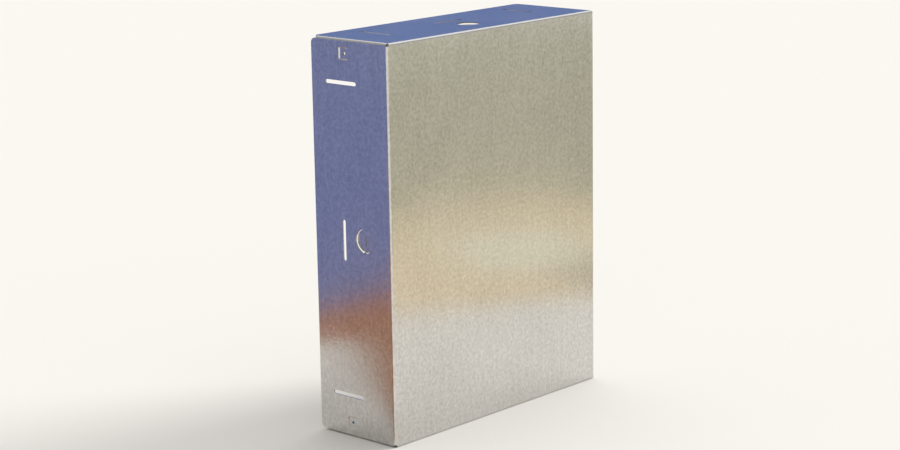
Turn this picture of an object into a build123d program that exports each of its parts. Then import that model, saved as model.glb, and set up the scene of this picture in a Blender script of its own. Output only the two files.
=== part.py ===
from build123d import *
import os
from math import asin, degrees

# Flush mounting box: one blank of zinc-coated steel sheet, punched flat and folded into an open tray.
# It stands upright on its bottom wall. X runs along the width, Z is up, and Y runs from the open
# front, on the negative side, to the closed back. The origin is the middle of the bottom face.

# Overall outside size
height = 320.0
width = 250.0
depth = 82.0

# Sheet, and its folds measured on their outside
sheet = 1.0
fold_radius = 2.0

# Side walls stop short of the top and bottom faces, and the folds of one another at the back corners
wall_setback = 1.4
corner_gap = 0.1

# Corners of the walls at the open front
rim_rounding = 4.0

# Flanges on the ends of the top and bottom walls, lapped inside the side walls
flange_reach = 25.0
lap_gap = 0.2

# Press joints, which lock each side wall to the flanges behind it
joint_size = 10.0
joint_rounding = 1.0
joint_depth = 0.9
joint_floor = 1.6
joint_draft = 45.0
joint_flare = 2.0
joint_hole_radius = 1.4
joint_setback = 35.0
joint_from_end = 11.4

# Fixing slots, set back from the open front
slot_length = 33.0
slot_width = 3.2
slot_setback = 31.3
side_slot_from_end = 34.3
end_slot_from_side = 39.0
upright_slot_rise = 0.7

# Conduit knock-outs: a punched slug, set into the box, that hangs on one tie and leans in on its far side
knockout_radius = 9.5
knockout_setback = 53.3
knockout_rise = 2.8
slug_clearance = 0.2
slug_set = 1.4
slug_lean = 0.5
tie_width = 4.0
tie_reach = 1.0
stub_width = 1.2
stub_reach = 0.9
notch_radius = 0.8
notch_angle = 15.0
driver_slot_length = 8.5
driver_slot_width = 0.8

# Places worked out from the sizes above
front = -depth / 2
back = depth / 2
middle = height / 2
seam = height - fold_radius
lap_face = width / 2 - sheet - lap_gap
end_flat = lap_face - fold_radius
fold_end = width / 2 - fold_radius - corner_gap
flange_back = back - fold_radius - corner_gap
flange_depth = flange_back - front - rim_rounding
slot_line = front + slot_setback
joint_line = front + joint_setback
joint_thickness = joint_depth + joint_floor
knockout_line = front + knockout_setback
slug_radius = knockout_radius - slug_clearance
tie_root = knockout_radius + slug_clearance
slug_tilt = degrees(asin(slug_lean / (tie_root + slug_radius)))

# Frames on the outside of the walls, each with its Z pointing out of the sheet
sides = (1, -1)
ends = ((height, 1), (0, -1))
joint_frames = [
    Plane(origin=(side * width / 2, joint_line, z), x_dir=(0, 1, 0), z_dir=(side, 0, 0))
    for side in sides
    for z in (joint_from_end, height - joint_from_end)
]
side_knockout_frames = [
    Plane(
        origin=(side * width / 2, knockout_line, middle + knockout_rise),
        x_dir=(0, 0, -1),
        z_dir=(side, 0, 0),
    )
    for side in sides
]
end_knockout_frames = [
    Plane(origin=(0, knockout_line, z), x_dir=(0, -1, 0), z_dir=(0, 0, up)) for z, up in ends
]


# Top wall: its flat, the fold into the back panel, and a flange at each end
with BuildPart() as end_wall:
    with BuildSketch(Plane.XY.offset(height)):
        with Locations((0, front)):
            Rectangle(2 * end_flat, depth - fold_radius, align=(Align.CENTER, Align.MIN))
        fillet(vertices().group_by(Axis.Y)[0], radius=rim_rounding)
    extrude(amount=-sheet)

    with BuildSketch(Plane.YZ):
        with BuildLine():
            TangentArc((back - fold_radius, height), (back, seam), tangent=(1, 0))
            offset(amount=sheet, side=Side.RIGHT)
        make_face()
    extrude(amount=fold_end, both=True)

    with BuildSketch(Plane.XZ.offset(-flange_back)):
        with BuildLine():
            fold = TangentArc((end_flat, height), (lap_face, seam), tangent=(1, 0))
            Line(fold @ 1, (lap_face, height - flange_reach))
            offset(amount=sheet, side=Side.RIGHT)
        make_face()
        mirror(about=Plane.YZ)
    extrude(amount=flange_depth)


# Knock-out slug in the frame of its hole: Z points out of the wall, and X to the side that leans in
with BuildPart() as slug:
    with BuildSketch(Plane(Location((-tie_root, 0, -slug_set), (0, slug_tilt, 0)))):
        with Locations((tie_root, 0)):
            Circle(slug_radius)
            SlotOverall(driver_slot_length, driver_slot_width, mode=Mode.SUBTRACT)
    extrude(amount=-sheet)

    # Tie that still holds the slug, bent down from the rim of the hole
    with BuildSketch():
        with Locations((-tie_root, 0)):
            Rectangle(tie_reach, tie_width, align=(Align.MIN, Align.CENTER))
    extrude(amount=-slug_set - sheet)

    # Stub of the second tie, left on the rim where it tore
    with BuildSketch():
        with Locations((knockout_radius, 0)):
            Rectangle(2 * stub_reach, stub_width)
    extrude(amount=-sheet)


with BuildPart() as mounting_box:
    # Back panel and side walls: one channel, folded along the two upright back edges
    with BuildSketch(Plane.XY.offset(wall_setback)):
        with BuildLine():
            FilletPolyline(
                (-width / 2, front),
                (-width / 2, back),
                (width / 2, back),
                (width / 2, front),
                radius=fold_radius,
            )
            offset(amount=sheet, side=Side.RIGHT)
        make_face()
    extrude(amount=height - 2 * wall_setback)
    fillet(edges().filter_by(Axis.X).group_by(Axis.Y)[0], radius=rim_rounding)

    # The back panel is shorter than they are, and goes over into the folds of the end walls
    with BuildSketch(Plane.XZ.offset(-back)):
        with Locations((0, middle)):
            with GridLocations(0, height - fold_radius, 1, 2):
                Rectangle(width - 2 * fold_radius, fold_radius)
    extrude(amount=sheet, mode=Mode.SUBTRACT)

    # Top wall, and the bottom wall as its mirror image
    add(end_wall.part)
    mirror(end_wall.part, about=Plane.XY.offset(middle))

    # Press joints: wall and flange are pushed in together, so the square is hollow outside and proud inside
    with BuildSketch(*joint_frames):
        RectangleRounded(joint_size + joint_flare, joint_size + joint_flare, joint_rounding)
    extrude(amount=-joint_thickness, taper=joint_draft)
    with BuildSketch(*joint_frames):
        RectangleRounded(joint_size, joint_size, joint_rounding)
    extrude(amount=-joint_depth, taper=joint_draft, mode=Mode.SUBTRACT)
    with Locations(*joint_frames):
        Hole(joint_hole_radius, depth=2 * joint_thickness)

    # Fixing slots in both side walls: one along the depth near each end and one upright between them
    with BuildSketch(Plane.YZ):
        with Locations((slot_line, side_slot_from_end), (slot_line, height - side_slot_from_end)):
            SlotOverall(slot_length, slot_width)
        with Locations((slot_line, middle + upright_slot_rise)):
            SlotOverall(slot_length, slot_width, rotation=90)
    extrude(amount=width, both=True, mode=Mode.SUBTRACT)

    # The same slots in the top and bottom walls
    with BuildSketch(Plane.XY):
        with GridLocations(width - 2 * end_slot_from_side, 0, 2, 1):
            with Locations((0, slot_line)):
                SlotOverall(slot_length, slot_width, rotation=90)
        with Locations((0, slot_line)):
            SlotOverall(slot_length, slot_width)
    extrude(amount=2 * height, both=True, mode=Mode.SUBTRACT)

    # Knock-outs: a round hole in each wall with its slug, and a notch on either side of the torn tie
    with Locations(*side_knockout_frames, *end_knockout_frames):
        Hole(knockout_radius, depth=2 * sheet)
        add(slug.part)
        for angle in (notch_angle, -notch_angle):
            with PolarLocations(knockout_radius, 1, start_angle=angle):
                Hole(notch_radius, depth=2 * (slug_set + slug_lean))

mounting_box.part.label = "mounting_box"
os.makedirs("parts", exist_ok=True)
export_step(mounting_box.part, "parts/mounting_box.step")
print("mounting_box", round(mounting_box.part.volume), "mm3 in", len(mounting_box.part.solids()), "solid")
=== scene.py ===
# Flush mounting box of zinc-coated steel sheet, standing on its bottom wall and seen from behind.
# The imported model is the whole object. This script gives its sheet the finish of the real one,
# then sets the pale floor, the soft light and the camera. Lengths are metres.

import bpy
from math import cos, radians, sin
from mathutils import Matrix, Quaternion, Vector


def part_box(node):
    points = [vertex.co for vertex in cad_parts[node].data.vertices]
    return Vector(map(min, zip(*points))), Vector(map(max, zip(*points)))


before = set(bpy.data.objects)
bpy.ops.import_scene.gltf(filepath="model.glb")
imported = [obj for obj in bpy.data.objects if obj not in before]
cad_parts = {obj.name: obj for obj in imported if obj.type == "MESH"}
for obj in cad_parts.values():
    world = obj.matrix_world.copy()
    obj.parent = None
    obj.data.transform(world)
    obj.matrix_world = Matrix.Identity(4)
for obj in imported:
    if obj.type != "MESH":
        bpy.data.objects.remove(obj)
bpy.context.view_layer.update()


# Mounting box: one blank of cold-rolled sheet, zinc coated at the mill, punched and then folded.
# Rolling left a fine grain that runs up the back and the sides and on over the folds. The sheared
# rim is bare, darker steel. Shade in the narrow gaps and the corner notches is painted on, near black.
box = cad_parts["mounting_box"]
box_low, box_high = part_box("mounting_box")
sheet_thickness = 0.001
rim_depth = 0.1 * sheet_thickness
# How far the painted shade reaches in narrow gaps and around the corners
gap_shade_reach = 3 * sheet_thickness
notch_shade_reach = 2.5 * sheet_thickness
wave_height = 0.0002
grain_height = 0.00004
dark_zinc = (0.5, 0.49, 0.47, 1.0)
bright_zinc = (0.8, 0.79, 0.76, 1.0)
bare_steel = (0.4, 0.4, 0.4, 1.0)
# Near black for the shade painted into narrow gaps and corner notches
shade_black = (0.05, 0.05, 0.05, 1.0)


def add_node(tree, kind, **settings):
    """A new shader node of that kind, with these settings on it."""
    node = tree.nodes.new(kind)
    for name, value in settings.items():
        setattr(node, name, value)
    return node


def feed(tree, socket, value):
    """Links a socket to an output, or sets it to a plain value."""
    if isinstance(value, bpy.types.NodeSocket):
        tree.links.new(value, socket)
    else:
        socket.default_value = value


def calculate(tree, operation, *values, clamp=False):
    """The output of a Math node that works on these numbers or outputs."""
    node = add_node(tree, "ShaderNodeMath", operation=operation, use_clamp=clamp)
    for socket, value in zip(node.inputs, values):
        feed(tree, socket, value)
    return node.outputs["Value"]


def calculate_vector(tree, operation, *vectors, output="Vector"):
    """An output of a Vector Math node that works on these vectors or outputs."""
    node = add_node(tree, "ShaderNodeVectorMath", operation=operation)
    for socket, vector in zip(node.inputs, vectors):
        feed(tree, socket, vector)
    return node.outputs[output]


def add_layers(tree, start, layers):
    """A start value with each layer added to it by its weight."""
    total = start
    for layer, weight in layers:
        total = calculate(tree, "MULTIPLY_ADD", layer, weight, total)
    return total


def blend_colors(tree, share, first, second):
    """The output of a Mix node between two colours."""
    node = add_node(tree, "ShaderNodeMix", data_type="RGBA")
    feed(tree, node.inputs["Factor"], share)
    feed(tree, node.inputs["A"], first)
    feed(tree, node.inputs["B"], second)
    return node.outputs["Result"]


def split_axes(tree, vector):
    """The X, Y and Z outputs of a vector."""
    node = add_node(tree, "ShaderNodeSeparateXYZ")
    tree.links.new(vector, node.inputs["Vector"])
    return node.outputs


def join_axes(tree, *values):
    """The vector of an X, a Y and a Z value."""
    node = add_node(tree, "ShaderNodeCombineXYZ")
    for socket, value in zip(node.inputs, values):
        feed(tree, socket, value)
    return node.outputs["Vector"]


def add_noise(tree, place, scale, detail=2.0):
    """The output of a Noise texture at that place."""
    node = add_node(tree, "ShaderNodeTexNoise")
    tree.links.new(place, node.inputs["Vector"])
    feed(tree, node.inputs["Scale"], scale)
    node.inputs["Detail"].default_value = detail
    return node.outputs["Fac"]


def add_bump(tree, relief, height):
    """A Bump node that raises the surface by a relief of that height."""
    node = add_node(tree, "ShaderNodeBump")
    tree.links.new(relief, node.inputs["Height"])
    node.inputs["Distance"].default_value = height
    return node


def make_rolled_grain():
    """Node group for streaks that follow the rolling direction, which folds with the sheet."""
    tree = bpy.data.node_groups.new("rolled grain", "ShaderNodeTree")
    for name in ("Width", "Stretch"):
        tree.interface.new_socket(name, in_out="INPUT", socket_type="NodeSocketFloat")
    tree.interface.new_socket("Streak", in_out="OUTPUT", socket_type="NodeSocketFloat")
    inlet = add_node(tree, "NodeGroupInput")
    place = add_node(tree, "ShaderNodeTexCoord")
    spot = split_axes(tree, place.outputs["Object"])
    facing = split_axes(tree, place.outputs["Normal"])

    # Around the folds of the end walls, the grain turns from upright to along the depth
    upright = calculate(tree, "SUBTRACT", 1.0, calculate(tree, "ABSOLUTE", facing["Z"]))
    across = calculate(tree, "MULTIPLY", spot["Y"], upright)
    folded = calculate(tree, "MULTIPLY", spot["Y"], facing["Z"])
    along = calculate(tree, "SUBTRACT", spot["Z"], folded)
    drawn_out = calculate(tree, "DIVIDE", along, inlet.outputs["Stretch"])
    streak_place = join_axes(tree, spot["X"], across, drawn_out)
    streak = add_noise(tree, streak_place, calculate(tree, "DIVIDE", 1.0, inlet.outputs["Width"]))
    outlet = add_node(tree, "NodeGroupOutput")
    tree.links.new(streak, outlet.inputs["Streak"])
    return tree


rolled_grain = make_rolled_grain()


def add_streaks(tree, width, stretch):
    """The output of a rolled grain group with streaks of that width."""
    node = add_node(tree, "ShaderNodeGroup", node_tree=rolled_grain)
    node.inputs["Width"].default_value = width
    node.inputs["Stretch"].default_value = stretch
    return node.outputs["Streak"]


def make_zinc_coated_steel():
    """Satin zinc with rolled grain, faint clouds and speckle, a bare rim and shade painted into the
    gaps and corner notches.
    """
    made = bpy.data.materials.new("zinc_coated_steel")
    made.use_nodes = True
    tree = made.node_tree
    shader = tree.nodes["Principled BSDF"]
    place = add_node(tree, "ShaderNodeTexCoord")
    spot = place.outputs["Object"]
    normal = place.outputs["Normal"]

    # The coat: grain first, then speckle and clouds, from darker to brighter zinc
    fine = add_streaks(tree, width=0.0023, stretch=1.2)
    broad = add_streaks(tree, width=0.004, stretch=14.0)
    speckle = add_noise(tree, spot, scale=1400.0)
    clouds = add_noise(tree, spot, scale=16.0, detail=3.0)
    tone = add_layers(tree, 0.0, ((fine, 1.3), (broad, 0.3), (speckle, 0.4), (clouds, 0.4)))
    darkest = 0.7
    tone = calculate(tree, "SUBTRACT", tone, darkest, clamp=True)
    zinc = blend_colors(tree, tone, dark_zinc, bright_zinc)

    # The sheared rim at the open front, then painted shade, near black, in narrow gaps and in the
    # corner notches
    rim = calculate(tree, "LESS_THAN", split_axes(tree, spot)["Y"], box_low.y + rim_depth)
    color = blend_colors(tree, rim, zinc, bare_steel)
    # Painted shade: where ambient occlusion within three sheet thicknesses is strong, the colour goes
    # to near black
    openness = add_node(tree, "ShaderNodeAmbientOcclusion", only_local=True)
    openness.inputs["Distance"].default_value = gap_shade_reach
    shade_slope = -3.0
    shade_start = 2.2
    gap_shade = calculate(tree, "MULTIPLY_ADD", openness.outputs["AO"], shade_slope, shade_start, clamp=True)
    # Painted shade: near black within 2.5 sheet thicknesses of each corner of the box, where the
    # corner notches are
    from_middle = calculate_vector(tree, "SUBTRACT", spot, (box_low + box_high) / 2)
    one_eighth = calculate_vector(tree, "ABSOLUTE", from_middle)
    corner = (box_high - box_low) / 2
    from_corner = calculate_vector(tree, "DISTANCE", one_eighth, corner, output="Value")
    notch_shade = calculate(tree, "LESS_THAN", from_corner, notch_shade_reach)
    painted_shade = calculate(tree, "MAXIMUM", gap_shade, notch_shade)
    color = blend_colors(tree, painted_shade, color, shade_black)
    tree.links.new(color, shader.inputs["Base Color"])

    # Satin gloss, duller where the coat is cloudy or grained and on the rim
    satin = 0.11
    roughness = add_layers(tree, satin, ((clouds, 0.08), (fine, 0.08), (rim, 0.2)))
    tree.links.new(roughness, shader.inputs["Roughness"])

    # The thin panels aren't quite flat, and the grain lies on top of their waves
    waves = add_noise(tree, spot, scale=9.0, detail=0.0)
    panel_waves = add_bump(tree, waves, wave_height)
    grain_bump = add_bump(tree, fine, grain_height)
    tree.links.new(panel_waves.outputs["Normal"], grain_bump.inputs["Normal"])
    tree.links.new(grain_bump.outputs["Normal"], shader.inputs["Normal"])

    # Gloss is drawn out across the grain, which runs up the walls and along the depth of the end walls
    turned = split_axes(tree, normal)["Z"]
    rolling = join_axes(tree, 0.0, calculate(tree, "MULTIPLY", turned, turned), 1.0)
    across_grain = calculate_vector(tree, "CROSS_PRODUCT", normal, rolling)
    tree.links.new(across_grain, shader.inputs["Tangent"])
    shader.inputs["Metallic"].default_value = 1.0
    shader.inputs["Anisotropic"].default_value = 0.5
    return made


box.material_slots[0].material = make_zinc_coated_steel()


# Stage: a plain pale floor under a white sky, with a soft lamp overhead and a key lamp on the right.
# It isn't part of the object. The folds don't mirror the key lamp, which would clip there.
def add_sheet(name, color, corners):
    """One flat matt sheet of the stage."""
    mesh = bpy.data.meshes.new(name)
    mesh.from_pydata(corners, [], [range(len(corners))])
    sheet = bpy.data.objects.new(name, mesh)
    bpy.context.scene.collection.objects.link(sheet)
    paint = bpy.data.materials.new(name)
    paint.use_nodes = True
    shader = paint.node_tree.nodes["Principled BSDF"]
    shader.inputs["Base Color"].default_value = (*color, 1.0)
    shader.inputs["Roughness"].default_value = 1.0
    shader.inputs["Specular IOR Level"].default_value = 0.0
    mesh.materials.append(paint)
    return sheet


floor_reach = 12.0
add_sheet(
    "pale_floor",
    (0.97, 0.94, 0.89),
    [(floor_reach * x, floor_reach * y, 0.0) for x, y in ((-1, -1), (1, -1), (1, 1), (-1, 1))],
)

white = (1.0, 1.0, 1.0, 1.0)
sky_strength = 0.49
world = bpy.data.worlds.new("white_sky")
world.use_nodes = True
sky = world.node_tree.nodes["Background"]
sky.inputs["Color"].default_value = white
sky.inputs["Strength"].default_value = sky_strength
bpy.context.scene.world = world


def add_lamp(name, energy, angle, direction):
    """A distant lamp that shines from that direction and is as wide as that angle."""
    light = bpy.data.lights.new(name, "SUN")
    light.energy = energy
    light.angle = radians(angle)
    lamp = bpy.data.objects.new(name, light)
    lamp.rotation_mode = "QUATERNION"
    lamp.rotation_quaternion = Vector(direction).to_track_quat("Z", "Y")
    bpy.context.scene.collection.objects.link(lamp)
    return lamp


add_lamp("overhead_lamp", energy=0.9, angle=80.0, direction=(-0.5, -0.15, 0.85))
key_lamp = add_lamp("key_lamp", energy=1.65, angle=25.0, direction=(-0.79, 0.35, 0.5))
key_lamp.visible_glossy = False


# Set papers: plain coloured sheets that lie on the floor just outside the picture, and a blue board
# that stands far behind the box. They are there for the metal to mirror, and no view shows them.
paper_lift = 0.0004


def add_set_sheet(name, color, corners):
    """One sheet of the set, which is mirrored but leaves the floor as pale as it is."""
    sheet = add_sheet(name, color, corners)
    sheet.visible_camera = False
    sheet.visible_diffuse = False
    sheet.visible_shadow = False


def add_set_paper(name, color, outline, layer=1):
    """One paper of the set, which lies on the floor or on the layers under it."""
    add_set_sheet(name, color, [(x, y, layer * paper_lift) for x, y in outline])


add_set_paper(
    "brown_paper",
    (0.53, 0.26, 0.15),
    [(0.136, 0.04), (1.3, 0.04), (1.3, -0.31), (0.25, -0.31), (0.33, -0.2)],
)
add_set_paper(
    "blue_paper",
    (0.22, 0.255, 0.49),
    [(0.25, -0.31), (6.0, -0.31), (6.0, -6.0), (-3.4, -6.0), (-1.5, -2.72)],
)
add_set_paper(
    "grey_paper",
    (0.58, 0.56, 0.435),
    [(-0.12, 0.354), (0.6, 2.2), (-2.2, 2.2), (-2.2, -0.9)],
)
add_set_paper(
    "sand_paper",
    (0.94, 0.785, 0.55),
    [(-0.12, 0.354), (-0.12, 0.63), (-0.7, 0.63), (-0.7, 0.008)],
    layer=2,
)
add_set_paper(
    "pale_paper",
    (1.0, 1.0, 0.82),
    [(-0.34, 0.38), (-0.45, 0.52), (-0.57, 0.42), (-0.44, 0.305)],
    layer=3,
)
add_set_paper(
    "stone_paper",
    (0.6, 0.54, 0.42),
    [(-0.345, 0.225), (-0.42, 0.325), (-0.9, 0.17), (-0.72, 0.0)],
    layer=4,
)
add_set_sheet(
    "blue_board",
    (0.19, 0.295, 0.69),
    [(-6.5, -1.5, 0.5), (-1.5, -6.5, 0.5), (-1.5, -6.5, 3.0), (-6.5, -1.5, 3.0)],
)


# Camera: at the photograph's viewing angle, a little above the box and behind its right side wall.
# Its place and lens were fitted to the seven corners of the box that can be seen.
photo_width = 900
azimuth = radians(132.3173)
elevation = radians(12.5646)
roll = radians(-0.942)
distance = 1.834335
aim_aside = -0.0084268
aim_height = 0.1524514
focal_pixels = 2227.063
backward = Vector((sin(azimuth) * cos(elevation), -cos(azimuth) * cos(elevation), sin(elevation)))
aim = Vector((aim_aside * cos(azimuth), aim_aside * sin(azimuth), aim_height))
lens = bpy.data.cameras.new("camera")
lens.sensor_fit = "HORIZONTAL"
lens.sensor_width = 36.0
lens.lens = focal_pixels / photo_width * lens.sensor_width
camera = bpy.data.objects.new("camera", lens)
camera.rotation_mode = "QUATERNION"
camera.rotation_quaternion = backward.to_track_quat("Z", "Y") @ Quaternion((0, 0, 1), roll)
camera.location = aim + backward * distance
bpy.context.scene.collection.objects.link(camera)
bpy.context.scene.camera = camera

bpy.context.scene.view_settings.view_transform = "Standard"
